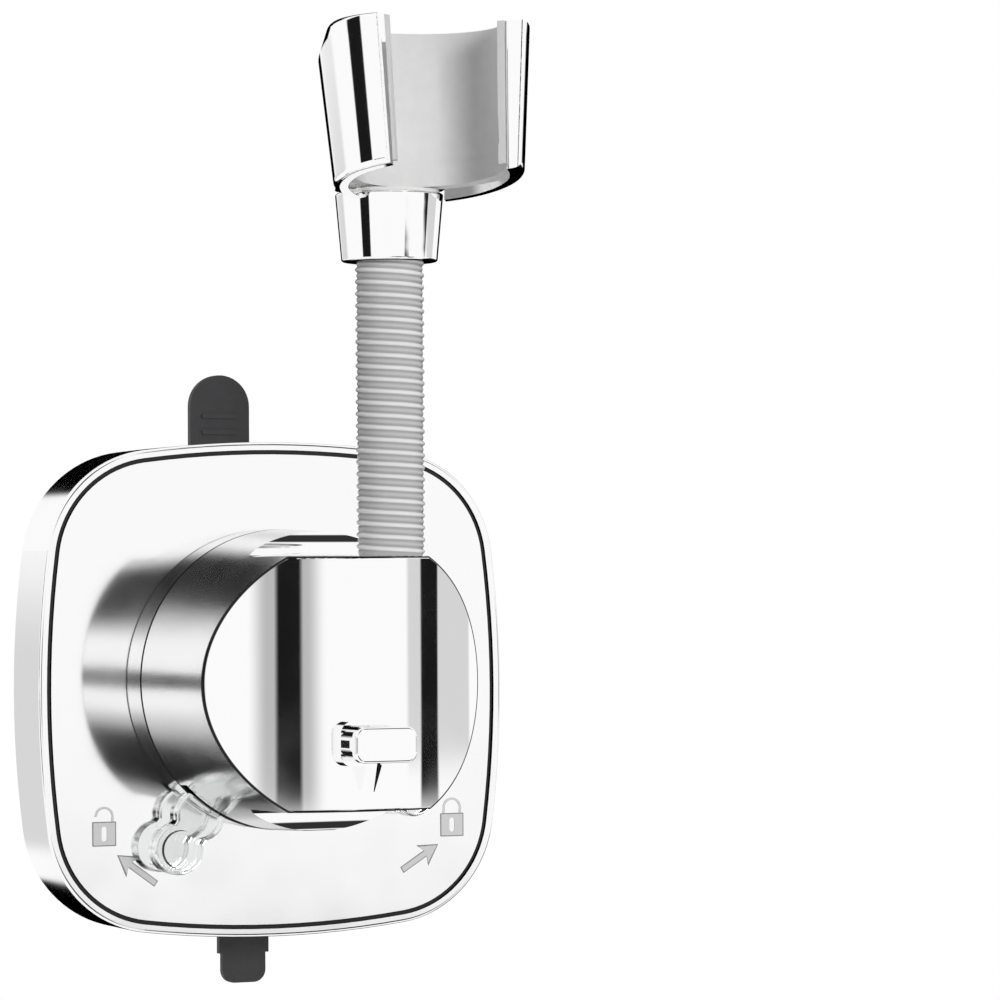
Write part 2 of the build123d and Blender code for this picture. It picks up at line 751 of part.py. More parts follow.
def cup_cone(radius, taper):
    """A long cone about the cradle's axis, with this radius at its middle height."""
    spread = cup_half * tan(radians(taper))
    with BuildPart() as cone:
        with BuildSketch(cup_plane.offset(-cup_half)):
            Circle(radius - spread)
        with BuildSketch(cup_plane.offset(cup_half)):
            Circle(radius + spread)
        loft()
    return cone.part


def below_slope(reach, z, slope):
    """Everything under a plane that rises to the front and passes this height at this reach."""
    plane = Plane(
        origin=(neck_x, -cradle_depth - reach, z),
        x_dir=(1, 0, 0),
        z_dir=(0, sin(radians(slope)), cos(radians(slope))),
    )
    with BuildPart() as block:
        with BuildSketch(plane):
            Rectangle(4 * plate_size, 4 * plate_size)
        extrude(amount=-2 * cup_half)
    return block.part


def above_top():
    """Everything over the cradle's rim."""
    with BuildPart() as block:
        with BuildSketch(level_plane(cradle_top_z)):
            Rectangle(4 * plate_size, 4 * plate_size)
        extrude(amount=2 * cup_half)
    return block.part


def mouth(gap):
    """The cradle's mouth, wider towards the front, with its edges this far in from the shell's."""
    half_width = mouth_inner_width / 2 - gap
    start = sqrt(cradle_bore**2 - (mouth_inner_width / 2) ** 2)
    reach = 3 * cradle_bore
    spread = reach * tan(radians(mouth_angle))
    with BuildPart() as wedge:
        for height in (-cup_half, cup_half):
            scale = 1 + height * tan(radians(cradle_bore_taper)) / cradle_bore
            with BuildSketch(cup_plane.offset(height)):
                with BuildLine():
                    Polyline(
                        (-half_width * scale, 0),
                        (-half_width * scale, -start * scale),
                        ((-half_width - spread) * scale, (-start - reach) * scale),
                        ((half_width + spread) * scale, (-start - reach) * scale),
                        (half_width * scale, -start * scale),
                        (half_width * scale, 0),
                        close=True,
                    )
                make_face()
        loft()
    return wedge.part


# Outer form of the cradle's cup, rounded below
cup_radius = cradle_bore + liner_wall + liner_gap + shell_wall
with BuildPart() as cradle_body:
    add(cup_cone(cup_radius, cradle_outer_taper))
    add(below_slope(cradle_front_reach, cradle_front_bottom_z, cradle_bottom_slope), mode=Mode.SUBTRACT)
    fillet(cradle_body.faces().sort_by(Axis.Z)[0].edges(), bottom_round)

# Dome that the cradle's rim is trimmed to, lower towards the gooseneck
with BuildPart() as rim_dome:
    dome_drop = 2 * cup_half
    dome_plane = Plane(
        origin=(neck_x, -cradle_depth - bevel_offset, cradle_top_z), x_dir=(1, 0, 0), z_dir=(0, -1, 0)
    )
    with BuildSketch(dome_plane):
        with BuildLine():
            Polyline((bevel_top_radius - rim_edge_round, 0), (0, 0), (0, -dome_drop))
            Polyline(
                (0, -dome_drop),
                (bevel_top_radius + dome_drop * tan(radians(bevel_angle)), -dome_drop),
                (bevel_top_radius + rim_edge_round * tan(radians(bevel_angle)), -rim_edge_round),
            )
            RadiusArc(
                (bevel_top_radius + rim_edge_round * tan(radians(bevel_angle)), -rim_edge_round),
                (bevel_top_radius - rim_edge_round, 0),
                -1.6 * rim_edge_round,
            )
        make_face()
    revolve(axis=Axis(dome_plane.origin, (0, 0, 1)))

# Root of the cradle, on top of the collar nut
with BuildPart() as cradle_root:
    with BuildSketch(level_plane(root_z)):
        Circle(nut_top_radius)
    extrude(amount=root_height, taper=root_taper)
    add(cup_cone(cradle_bore + liner_wall + liner_gap, cradle_bore_taper), mode=Mode.SUBTRACT)
    add(below_slope(cradle_front_reach, cradle_front_bottom_z, cradle_bottom_slope), mode=Mode.SUBTRACT)

with BuildPart() as cradle_shell:
    add(cup_cone(cup_radius, cradle_outer_taper))
    add(cup_cone(cradle_bore + liner_wall + liner_gap, cradle_bore_taper), mode=Mode.SUBTRACT)
    add(mouth(0), mode=Mode.SUBTRACT)
    jaw_edges = cradle_shell.edges().filter_by(lambda edge: edge.length > 1.9 * cup_half)
    fillet(jaw_edges.filter_by(lambda edge: edge.center().Y < -cradle_depth - jaw_round), jaw_round)
    add(cradle_body.part, mode=Mode.INTERSECT)
    add(cradle_root.part)
    add(above_top(), mode=Mode.SUBTRACT)
    add(mouth(0), mode=Mode.SUBTRACT)
    with BuildSketch(level_plane(root_z)):
        Circle(nut_top_radius + swivel_clearance)
    extrude(amount=-cup_half, mode=Mode.SUBTRACT)
    add(rim_dome.part, mode=Mode.INTERSECT)
    with BuildSketch(level_plane(root_z)):
        Circle(spigot_radius + running_gap)
    extrude(amount=spigot_length, mode=Mode.SUBTRACT)
    grub_plane = Plane(
        origin=(neck_x, -neck_depth, spigot_groove_z), x_dir=(1, 0, 0), z_dir=(0, 1, 0)
    )
    with BuildSketch(grub_plane):
        Circle(small_screw_radius + running_gap)
    extrude(amount=2 * nut_top_radius, mode=Mode.SUBTRACT)
export(cradle_shell, "cradle_shell")

# Grub screw whose tip runs in the spigot's groove
with BuildPart() as grub_screw:
    with BuildSketch(grub_plane.offset(spigot_radius - spigot_groove_depth + 2 * running_gap)):
        Circle(spigot_groove_height / 2 - running_gap)
    extrude(amount=1.2)
    with BuildSketch(grub_plane.offset(spigot_radius + 0.3)):
        Circle(small_screw_radius)
    extrude(amount=5.0)
export(grub_screw, "grub_screw")

# Cradle liner
with BuildPart() as cradle_liner:
    add(cup_cone(cradle_bore + liner_wall, cradle_bore_taper))
    add(cup_cone(cradle_bore, cradle_bore_taper), mode=Mode.SUBTRACT)
    band_end = liner_band_start + liner_band_length
    with BuildSketch(cup_plane.offset(liner_band_start)):
        Circle(cradle_bore + band_end * tan(radians(cradle_bore_taper)))
    extrude(amount=liner_band_length, mode=Mode.SUBTRACT)
    add(
        below_slope(cradle_front_reach, nut_top_z + liner_bottom_rise, liner_bottom_slope),
        mode=Mode.SUBTRACT,
    )
    add(above_top(), mode=Mode.SUBTRACT)
    add(mouth(mouth_gap), mode=Mode.SUBTRACT)
export(cradle_liner, "cradle_liner")

# Hook: base, shank, front plate and pointed prong, with a stud through the drum's front
hook_wall_depth = front_depth
with BuildPart() as front_hook:
    with BuildSketch(front_plane(hook_wall_depth - 1.0, hook_z)) as hook_base_outline:
        RectangleRounded(hook_base_width, hook_base_height, hook_corner)
    extrude(amount=hook_base_length + 1.0)
    with BuildSketch(front_plane(hook_wall_depth, hook_z)):
        RectangleRounded(hook_shank_width, hook_shank_height, hook_plate_corner)
    extrude(amount=hook_reach - hook_wall_depth - hook_plate_thickness)
    with BuildSketch(front_plane(hook_reach - hook_plate_thickness, hook_z)):
        RectangleRounded(hook_plate_width, hook_plate_height, hook_plate_corner)
    extrude(amount=hook_plate_thickness)
    fillet(front_hook.edges().group_by(Axis.Y)[0], 0.5)
    with Locations((0, -front_centre, drum_axis_z)):
        Cylinder(front_radius + running_gap / 2, barrel_height, mode=Mode.SUBTRACT)
    with BuildSketch(Plane(origin=(0, -hook_prong_depth, hook_z))):
        Rectangle(hook_prong_width, hook_prong_width, rotation=45)
    with BuildSketch(Plane(origin=(0, -hook_prong_depth + 0.6, hook_z - hook_prong_drop))):
        Rectangle(0.5, 0.5, rotation=45)
    loft()
    with BuildSketch(front_plane(hook_wall_depth - hook_stud_length, hook_z)):
        Circle(hook_stud_radius)
    extrude(amount=hook_stud_length + 1.0)
export(front_hook, "front_hook")

with BuildPart() as hook_nut:
    with BuildSketch(front_plane(front_depth - drum_wall - running_gap, hook_z)):
        RegularPolygon(hook_nut_radius, 6)
        Circle(hook_stud_radius + running_gap, mode=Mode.SUBTRACT)
    extrude(amount=-hook_nut_thickness)
export(hook_nut, "hook_nut")
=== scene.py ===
import json
from math import cos, pi, radians, sin

import bpy
from mathutils import Matrix, Vector


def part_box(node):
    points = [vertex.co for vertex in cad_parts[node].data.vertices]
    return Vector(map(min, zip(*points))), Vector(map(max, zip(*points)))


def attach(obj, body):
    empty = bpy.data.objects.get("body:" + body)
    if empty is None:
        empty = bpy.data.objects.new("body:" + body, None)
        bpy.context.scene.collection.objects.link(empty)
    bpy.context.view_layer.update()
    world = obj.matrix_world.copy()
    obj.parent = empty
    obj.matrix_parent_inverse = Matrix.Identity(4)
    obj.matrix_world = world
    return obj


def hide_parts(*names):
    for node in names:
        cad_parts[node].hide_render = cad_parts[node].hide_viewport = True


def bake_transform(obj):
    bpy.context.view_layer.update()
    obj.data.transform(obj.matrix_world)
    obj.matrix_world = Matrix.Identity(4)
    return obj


# The looks of a hand shower holder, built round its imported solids.
# Lengths are in metres. The wall is the plane Y = 0, the front faces -Y and +Z is up.

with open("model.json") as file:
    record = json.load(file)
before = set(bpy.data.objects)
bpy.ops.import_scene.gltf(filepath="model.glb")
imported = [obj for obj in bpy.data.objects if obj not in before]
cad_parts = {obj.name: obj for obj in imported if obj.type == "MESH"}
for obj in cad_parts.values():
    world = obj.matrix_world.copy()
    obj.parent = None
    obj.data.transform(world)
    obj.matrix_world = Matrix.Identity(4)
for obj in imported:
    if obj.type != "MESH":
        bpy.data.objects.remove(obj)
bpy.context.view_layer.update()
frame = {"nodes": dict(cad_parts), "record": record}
nodes = frame["nodes"]
scene = bpy.context.scene
scene.view_settings.view_transform = "Standard"

# Camera
camera_place = Vector((-0.3211, -0.845, 0.0227))
camera_azimuth = radians(-24.18)
camera_elevation = radians(-0.99)
camera_roll = radians(-0.32)
camera_lens = 157.46

# Gooseneck
neck_axis = Vector((0.0093, -0.057, 0.0))
sleeve_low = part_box("neck_sleeve")[0][2]
sleeve_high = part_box("neck_sleeve")[1][2]
sleeve_radius = 0.00675
sleeve_bore = 0.0036
rib_height = 0.00055
rib_pitch = 0.00235
low_rib_share = 0.5
rib_fullness = 0.8
rib_run_out = 0.0008
lower_bend_z = 0.043
upper_bend_z = 0.071
split_z = (lower_bend_z + upper_bend_z) / 2

# Drum
drum_axis_z = 0.002
drum_side_grain = 0.12
drum_flat_height = 0.0246
drum_slope = 0.0402
drum_cone_start = 0.0303 + 0.0226 * drum_slope
barrel_radius = 0.0413
barrel_axis_depth = -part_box("drum_body")[0][1] - barrel_radius
# Where and how wide the painted dark lines lie, and their tone: a dark reflection painted along the barrel's
# front edge, and shade painted along the seam
seam_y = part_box("rear_collar")[0][1]
seam_softness = 0.00005
line_inner = 0.0003
line_outer = 0.00045
drum_painted_line_tone = 0.02

# Plate's face, the painted shade in the groove round its rim and the marks printed on it
plate_face_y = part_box("base_plate")[0][1]
groove_start = 0.00012
groove_end = 0.00054
groove_softness = 0.00003
groove_shade_tone = 0.03
mark_thickness = 0.00012
mark_step = 0.00003
padlock_edge = 0.00022
padlock_lift = 0.0011
arrow_edge = 0.00018
arrow_head_length = 0.0042
arrow_head_width = 0.0050
arrow_shaft_width = 0.0014

# Floor and lamps
floor_half_size = 6.0
floor_z = -0.35
lamp_aim = (0, -0.05, 0.06)

# Clear plastic
clear_tint = (0.86, 0.87, 0.87, 1.0)

# The dark backdrop behind the object that its chrome mirrors at grazing angles, in degrees
behind_azimuth = 155.8
behind_half_width = 28.0
behind_low = -60.0
behind_high = 30.0
behind_softness = 0.012

# Dark screens round the object: azimuth from, to, edge, elevation from, to, edge, and depth of tone
dark_screens = (
    (-27.8, -12.4, 2.6, -3.1, 1.5, 0.3, 0.99),
    (-37.0, -5.0, 6.0, -3.1, 1.5, 0.3, 0.5),
    (58.0, 70.8, 1.0, -3.0, 1.5, 0.3, 0.99),
    (49.0, 100.0, 1.5, -2.4, 1.5, 0.3, 0.32),
    (-88.5, -67.0, 1.0, -9.0, -1.5, 0.4, 0.99),
    (13.5, 25.0, 1.2, -9.0, -5.25, 0.12, 0.97),
    (-111.0, -93.0, 0.8, -0.5, 9.0, 0.4, 0.99),
    (-16.0, 7.0, 1.5, 11.0, 44.0, 2.0, 0.99),
    (-19.0, 9.0, 2.5, 10.0, 44.0, 2.0, 0.7),
    (-18.0, 7.0, 1.8, -44.0, -11.0, 2.0, 0.99),
    (-18.0, 10.0, 2.5, -40.0, -12.0, 2.0, 0.85),
    (-21.5, 15.0, 2.5, -40.0, -9.0, 2.0, 0.55),
    (90.0, 140.0, 3.0, -45.0, -10.0, 2.0, 0.99),
    (18.0, 42.0, 3.0, 14.0, 46.0, 3.0, 0.97),
    (18.0, 42.0, 3.0, -46.0, -14.0, 3.0, 0.97),
    (-172.0, -140.0, 4.0, -12.0, 3.0, 3.0, 0.3),
)

# Light of the studio on plain surfaces, and how far clear plastic darkens what it sees to the side
fill_level = 0.16
aside_depth = 0.9


def add_camera():
    """Creates the camera that sees the object as the photograph does."""
    back = Vector((
        sin(camera_azimuth) * cos(camera_elevation),
        -cos(camera_azimuth) * cos(camera_elevation),
        sin(camera_elevation),
    ))
    level_right = Vector((cos(camera_azimuth), sin(camera_azimuth), 0.0))
    level_up = back.cross(level_right)
    right = cos(camera_roll) * level_right + sin(camera_roll) * level_up
    up = -sin(camera_roll) * level_right + cos(camera_roll) * level_up
    data = bpy.data.cameras.new("camera")
    data.lens = camera_lens
    data.sensor_width = 36.0
    data.clip_start = 0.05
    camera = bpy.data.objects.new("camera", data)
    scene.collection.objects.link(camera)
    axes = Matrix((right, up, back)).transposed().to_4x4()
    camera.matrix_world = Matrix.Translation(camera_place) @ axes
    scene.camera = camera


class Graph:
    """Short ways to add and link shader nodes in one node tree."""

    def __init__(self, tree):
        self.tree = tree

    def node(self, kind, **settings):
        made = self.tree.nodes.new(kind)
        for key, value in settings.items():
            setattr(made, key, value)
        return made

    def feed(self, socket, value):
        if isinstance(value, bpy.types.NodeSocket):
            self.tree.links.new(value, socket)
        else:
            socket.default_value = value

    def math(self, operation, first, second=0.0):
        made = self.node("ShaderNodeMath", operation=operation)
        self.feed(made.inputs[0], first)
        self.feed(made.inputs[1], second)
        return made.outputs[0]

    def ramp(self, value, low, high, start=0.0, end=1.0):
        made = self.node("ShaderNodeMapRange", interpolation_type="SMOOTHSTEP")
        for index, item in enumerate((value, low, high, start, end)):
            self.feed(made.inputs[index], item)
        return made.outputs[0]

    def distance(self, first, second):
        """The length of a step made of two that stand square to each other."""
        squares = self.math("ADD", self.math("MULTIPLY", first, first), self.math("MULTIPLY", second, second))
        return self.math("SQRT", squares)

    def inside(self, value, low, high, soft):
        """One between two limits and nought beyond them, with soft edges."""
        rise = self.ramp(value, low - soft, low + soft)
        fall = self.ramp(value, high - soft, high + soft, 1.0, 0.0)
        return self.math("MULTIPLY", rise, fall)

    def split(self, vector):
        """The X, Y and Z of a vector."""
        made = self.node("ShaderNodeSeparateXYZ")
        self.feed(made.inputs[0], vector)
        return made.outputs

    def mixed(self, amount, first, second):
        """A colour between two others."""
        made = self.node("ShaderNodeMix", data_type="RGBA")
        self.feed(made.inputs["Factor"], amount)
        made.inputs["A"].default_value = first
        made.inputs["B"].default_value = second
        return made.outputs["Result"]

    def noise(self, scale, detail=2.0):
        place = self.node("ShaderNodeTexCoord")
        made = self.node("ShaderNodeTexNoise")
        made.inputs["Scale"].default_value = scale
        made.inputs["Detail"].default_value = detail
        self.feed(made.inputs["Vector"], place.outputs["Object"])
        return made.outputs["Fac"]

    def bump(self, height, strength, distance):
        made = self.node("ShaderNodeBump")
        made.inputs["Strength"].default_value = strength
        made.inputs["Distance"].default_value = distance
        self.feed(made.inputs["Height"], height)
        return made.outputs["Normal"]


def new_material(name):
    """A node-based material, its graph and its main shader."""
    made = bpy.data.materials.new(name)
    made.use_nodes = True
    graph = Graph(made.node_tree)
    return made, graph, made.node_tree.nodes["Principled BSDF"]


def metal(name, color, rough_low, rough_high, scale=60.0, bump=0.0):
    """Metal whose roughness wanders a little."""
    made, graph, shader = new_material(name)
    shader.inputs["Base Color"].default_value = (*color, 1.0)
    shader.inputs["Metallic"].default_value = 1.0
    patchy = graph.noise(scale)
    graph.feed(shader.inputs["Roughness"], graph.ramp(patchy, 0.3, 0.7, rough_low, rough_high))
    if bump:
        graph.feed(shader.inputs["Normal"], graph.bump(graph.noise(900.0), bump, 0.0001))
    return made


def paint_shading_line(made, line, tone):
    """Paints a dark line into a metal's colour where the line's value is one: painted shade and painted
    reflection.
    """
    graph = Graph(made.node_tree)
    shader = made.node_tree.nodes["Principled BSDF"]
    base = shader.inputs["Base Color"]
    graph.feed(base, graph.mixed(line, base.default_value[:], (tone, tone, tone, 1.0)))


def plate_chrome_with_groove_shade(name):
    """Chrome of the plate, with painted shade down inside the groove round its rim."""
    made = metal(name, (0.95, 0.95, 0.95), 0.07, 0.1)
    graph = Graph(made.node_tree)
    place = graph.node("ShaderNodeTexCoord")
    depth = graph.math("ADD", graph.split(place.outputs["Object"])[1], -plate_face_y)
    upright = graph.math("ABSOLUTE", graph.split(place.outputs["Normal"])[1])
    rounded = graph.inside(upright, 0.1, 0.97, 0.02)
    sunk = graph.inside(depth, groove_start, groove_end, groove_softness)
    # Painted shade in the groove, on its walls and floor but not on its rounded edges
    groove = graph.math("MULTIPLY", sunk, graph.math("SUBTRACT", 1.0, rounded))
    paint_shading_line(made, groove, groove_shade_tone)
    return made


def drum_chrome_with_painted_lines(name):
    """Chrome of the drum, with a dark reflection painted along its front edge and shade painted along its
    seam.
    """
    made = metal(name, (0.96, 0.96, 0.96), 0.02, 0.05)
    graph = Graph(made.node_tree)
    place = graph.node("ShaderNodeTexCoord")
    x, y, z = graph.split(place.outputs["Object"])
    height = graph.math("SUBTRACT", z, drum_axis_z)
    cone = graph.math("ADD", graph.math("MULTIPLY", y, drum_slope), drum_cone_start)
    past_cone = graph.math("SUBTRACT", graph.distance(x, height), cone)
    past_flat = graph.math("SUBTRACT", graph.math("ABSOLUTE", height), drum_flat_height)
    side = graph.math("MAXIMUM", past_cone, past_flat)
    barrel = graph.math("SUBTRACT", graph.distance(x, graph.math("ADD", y, barrel_axis_depth)), barrel_radius)
    # Dark reflection painted just inside the edge between the barrel and the sides; shade painted along the
    # seam
    edge = graph.math("MULTIPLY", graph.ramp(side, -line_outer, -line_inner),
                      graph.ramp(barrel, -line_outer, -line_inner))
    seam = graph.inside(y, seam_y - line_outer, seam_y + line_outer, seam_softness)
    paint_shading_line(made, graph.math("MAXIMUM", edge, seam), drum_painted_line_tone)
    facing_front = graph.math("ABSOLUTE", graph.split(place.outputs["Normal"])[1])
    grain = graph.math("MULTIPLY", graph.ramp(facing_front, 0.2, 0.5, 1.0, 0.0), drum_side_grain)
    roughness = made.node_tree.nodes["Principled BSDF"].inputs["Roughness"]
    polish = roughness.links[0].from_socket
    graph.feed(roughness, graph.math("ADD", polish, grain))
    return made


def plastic(name, color, rough_low, rough_high, scale=400.0, bump=0.1, shade=0.06):
    """Moulded plastic or rubber with a fine grain."""
    made, graph, shader = new_material(name)
    grain = graph.noise(scale, 4.0)
    darker = (*[c * (1 - shade) for c in color], 1.0)
    lighter = (*[min(1.0, c * (1 + shade)) for c in color], 1.0)
    graph.feed(shader.inputs["Base Color"], graph.mixed(grain, darker, lighter))
    graph.feed(shader.inputs["Roughness"], graph.ramp(grain, 0.3, 0.7, rough_low, rough_high))
    if bump:
        graph.feed(shader.inputs["Normal"], graph.bump(grain, bump, 0.00005))
    return made


def rib_shaded_plastic(name, valley_shade, ridge_highlight):
    """Glossy grey plastic of the gooseneck's sleeve, with painted shade down between its ribs and a painted
    highlight on their crests.
    """
    made, graph, shader = new_material(name)
    height = graph.node("ShaderNodeAttribute", attribute_type="GEOMETRY", attribute_name="crest")
    # Painted highlight on the rib crests and painted shade in the valleys between them
    highlight_share = graph.ramp(height.outputs["Fac"], 0.2, 0.95)
    graph.feed(shader.inputs["Base Color"], graph.mixed(highlight_share, (*valley_shade, 1.0), (*ridge_highlight, 1.0)))
    graph.feed(shader.inputs["Roughness"], graph.ramp(graph.noise(400.0, 4.0), 0.3, 0.7, 0.12, 0.2))
    return made


def clear_plastic(name):
    """Clear moulded plastic."""
    made, graph, shader = new_material(name)
    shader.inputs["Base Color"].default_value = clear_tint
    shader.inputs["Transmission Weight"].default_value = 1.0
    shader.inputs["IOR"].default_value = 1.49
    haze = graph.noise(120.0)
    graph.feed(shader.inputs["Roughness"], graph.ramp(haze, 0.3, 0.7, 0.0, 0.03))
    return made


def paint(piece, material):
    """Gives a piece this one material."""
    piece.data.materials.clear()
    piece.data.materials.append(material)


def new_piece(name, mesh, body, material):
    """Shows a finished mesh as a piece that rides on a body."""
    made = bpy.data.objects.new(name, mesh)
    scene.collection.objects.link(made)
    paint(made, material)
    if body:
        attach(made, body)
    return made


def grid_mesh(name, rows):
    """A smooth mesh through rows of points, each row closed on itself."""
    mesh = bpy.data.meshes.new(name)
    width = len(rows[0])
    points = [point for row in rows for point in row]
    faces = []
    for i in range(len(rows) - 1):
        for j in range(width):
            k = (j + 1) % width
            faces.append((i * width + j, i * width + k, (i + 1) * width + k, (i + 1) * width + j))
    mesh.from_pydata(points, [], faces)
    mesh.update()
    mesh.shade_smooth()
    return mesh


def neck_ring(radii, z):
    """Points round the gooseneck's axis at one height, one for each radius."""
    ring = []
    for j, radius in enumerate(radii):
        turn = 2 * pi * j / len(radii)
        ring.append(neck_axis + Vector((radius * cos(turn), radius * sin(turn), z)))
    return ring


def sleeve_surface(z, turns):
    """The ribbed sleeve's radius at a height and a share of a full turn."""
    phase = (z - sleeve_low) / rib_pitch + turns
    share = 1.0 if phase % 1.0 < 0.5 else low_rib_share
    swell = abs(sin(2 * pi * phase)) ** rib_fullness * share
    ends = min(1.0, (z - sleeve_low) / rib_run_out, (sleeve_high - z) / rib_run_out)
    return sleeve_radius - rib_height + rib_height * swell * max(0.0, ends)


def sleeve_mesh(name, low, high):
    """Part of the ribbed sleeve: a tall and a low rib run round it as left-handed helices."""
    around = 64
    step = rib_pitch / 20
    count = int(round((high - low) / step))
    rows = [neck_ring([sleeve_bore] * around, low)]
    for i in range(count + 1):
        z = low + (high - low) * i / count
        rows.append(neck_ring([sleeve_surface(z, j / around) for j in range(around)], z))
    rows.append(neck_ring([sleeve_bore] * around, high))
    mesh = grid_mesh(name, rows)
    # Each point's rise above the rib valleys, which the sleeve's material uses for its painted shade and
    # highlight
    crest = mesh.attributes.new("crest", "FLOAT", "POINT")
    for value, vertex in zip(crest.data, mesh.vertices):
        out = (vertex.co - neck_axis).to_2d().length - sleeve_radius + rib_height
        value.value = max(0.0, out / rib_height)
    return mesh


def rod_mesh(name, radius, low, high):
    """A plain round rod in many short steps."""
    around = 32
    steps = 24
    rows = []
    for i in range(steps + 1):
        rows.append(neck_ring([radius] * around, low + (high - low) * i / steps))
    return grid_mesh(name, rows)


def bent(piece):
    """Bakes a gooseneck piece's placement into its mesh."""
    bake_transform(piece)


def flexing_copy(name, material):
    """A copy of a solid with this material, in the solid's place; the solid itself is hidden."""
    source = nodes[name]
    mesh = source.data.copy()
    mesh.transform(source.matrix_world)
    piece = new_piece(name + "_flexing", mesh, None, material)
    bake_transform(piece)
    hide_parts(name)


def build_neck(sleeve_material, steel):
    """The ribbed sleeve and its core, each in a lower and an upper half."""
    core_near, core_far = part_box("neck_core")
    core_low = core_near[2]
    core_high = core_far[2]
    core_radius = (core_far[0] - core_near[0]) / 2
    halves = (
        ("lower", "base", "neck", lower_bend_z, sleeve_low, core_low, split_z, split_z),
        ("upper", "neck", "head", upper_bend_z, split_z, split_z, sleeve_high, core_high),
    )
    for word, first, second, middle, sleeve_from, core_from, sleeve_to, core_to in halves:
        sleeve = new_piece("sleeve_" + word, sleeve_mesh("sleeve_" + word, sleeve_from, sleeve_to),
                           None, sleeve_material)
        core = new_piece("core_" + word, rod_mesh("core_" + word, core_radius, core_from, core_to),
                         None, steel)
        bent(sleeve)
        bent(core)
        sleeve.visible_glossy = False
        core.visible_glossy = False
    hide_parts("neck_sleeve")
    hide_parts("neck_core")


def flat_mark(name, outlines, material, raise_by=0.0):
    """A thin printed mark on the plate's face; later outlines are holes in the first."""
    curve = bpy.data.curves.new(name, "CURVE")
    curve.dimensions = "2D"
    curve.fill_mode = "BOTH"
    for outline in outlines:
        spline = curve.splines.new("POLY")
        spline.points.add(len(outline) - 1)
        for point, (x, z) in zip(spline.points, outline):
            point.co = (x, z, 0.0, 1.0)
        spline.use_cyclic_u = True
    curve.extrude = mark_thickness / 2
    holder = bpy.data.objects.new(name, curve)
    scene.collection.objects.link(holder)
    bpy.context.view_layer.update()
    shape = bpy.data.meshes.new_from_object(holder)
    bpy.data.objects.remove(holder)
    stand = Matrix(((1, 0, 0, 0), (0, 0, -1, plate_face_y - raise_by), (0, 1, 0, 0), (0, 0, 0, 1)))
    shape.transform(stand)
    return new_piece(name, shape, "base", material)


def arc(x, z, radius, start, end, steps=16):
    """Points along an arc in the plate's face, angles in degrees."""
    return [(x + radius * cos(radians(start + (end - start) * i / steps)),
             z + radius * sin(radians(start + (end - start) * i / steps))) for i in range(steps + 1)]


def rounded_box(left, right, low, high, radius):
    """A rounded rectangle's outline in the plate's face."""
    return (arc(right - radius, high - radius, radius, 0, 90, 5)
            + arc(left + radius, high - radius, radius, 90, 180, 5)
            + arc(left + radius, low + radius, radius, 180, 270, 5)
            + arc(right - radius, low + radius, radius, 270, 360, 5))


def padlock(name, left, right, low, high, shackle_top, opened, fill, line):
    """A padlock mark, its shackle shut or with one leg standing clear of the body."""
    middle = (left + right) / 2
    width = right - left
    edge = padlock_edge
    margin = 0.2 * (high - low)
    half = 0.11 * width
    keyhole = rounded_box(middle - half, middle + half, low + margin, high - margin, 0.1 * width)
    body = rounded_box(left, right, low, high, 0.0002)
    face = rounded_box(left + edge, right - edge, low + edge, high - edge, 0.0001)
    flat_mark(name + "_edge", [body, keyhole], line)
    flat_mark(name + "_body", [face, keyhole], fill, mark_step)
    outer = 0.4 * width
    inner = 0.3 * width
    spring = shackle_top - outer
    foot = high + (padlock_lift if opened else 0.0)
    shackle = (arc(middle, spring, outer, 180, 0)
               + [(middle + outer, high), (middle + inner, high)]
               + arc(middle, spring, inner, 0, 180)
               + [(middle - inner, foot), (middle - outer, foot)])
    flat_mark(name + "_shackle", [shackle], fill)


def arrow_outline(tail, tip, head_length, head_width, shaft_width):
    """An arrow's outline with a straight shaft and a barbed head."""
    tail, tip = Vector(tail), Vector(tip)
    along = (tip - tail).normalized()
    across = Vector((-along.y, along.x))
    neck = tip - along * head_length * 0.82
    barb = tip - along * head_length
    outline = [tail + across * shaft_width / 2, neck + across * shaft_width / 2,
               barb + across * head_width / 2, tip, barb - across * head_width / 2,
               neck - across * shaft_width / 2, tail - across * shaft_width / 2]
    return [tuple(point) for point in outline]


def arrow(name, tail, tip, fill, line):
    """An arrow mark with a thin edge round its fill."""
    edge = arrow_edge
    along = (Vector(tip) - Vector(tail)).normalized()
    outer = arrow_outline(tail, tip, arrow_head_length, arrow_head_width, arrow_shaft_width)
    inner = arrow_outline(Vector(tail) + along * edge, Vector(tip) - along * 2.2 * edge,
                          arrow_head_length - 3.2 * edge, arrow_head_width - 5.4 * edge,
                          arrow_shaft_width - 2 * edge)
    flat_mark(name + "_edge", [outer], line)
    flat_mark(name, [inner], fill, mark_step)


def build_marks():
    """Open and closed padlocks with an arrow each."""
    fill = metal("mark_fill", (0.74, 0.74, 0.74), 0.2, 0.24)
    line = metal("mark_line", (0.32, 0.32, 0.32), 0.2, 0.24)
    padlock("lock_open", -0.0391, -0.0341, -0.0307, -0.0258, -0.0228, True, fill, line)
    padlock("lock_shut", 0.0362, 0.0414, -0.0309, -0.0261, -0.0229, False, fill, line)
    arrow("arrow_open", (-0.0257, -0.0385), (-0.0339, -0.0325), fill, line)
    arrow("arrow_shut", (0.0276, -0.0375), (0.0357, -0.0324), fill, line)


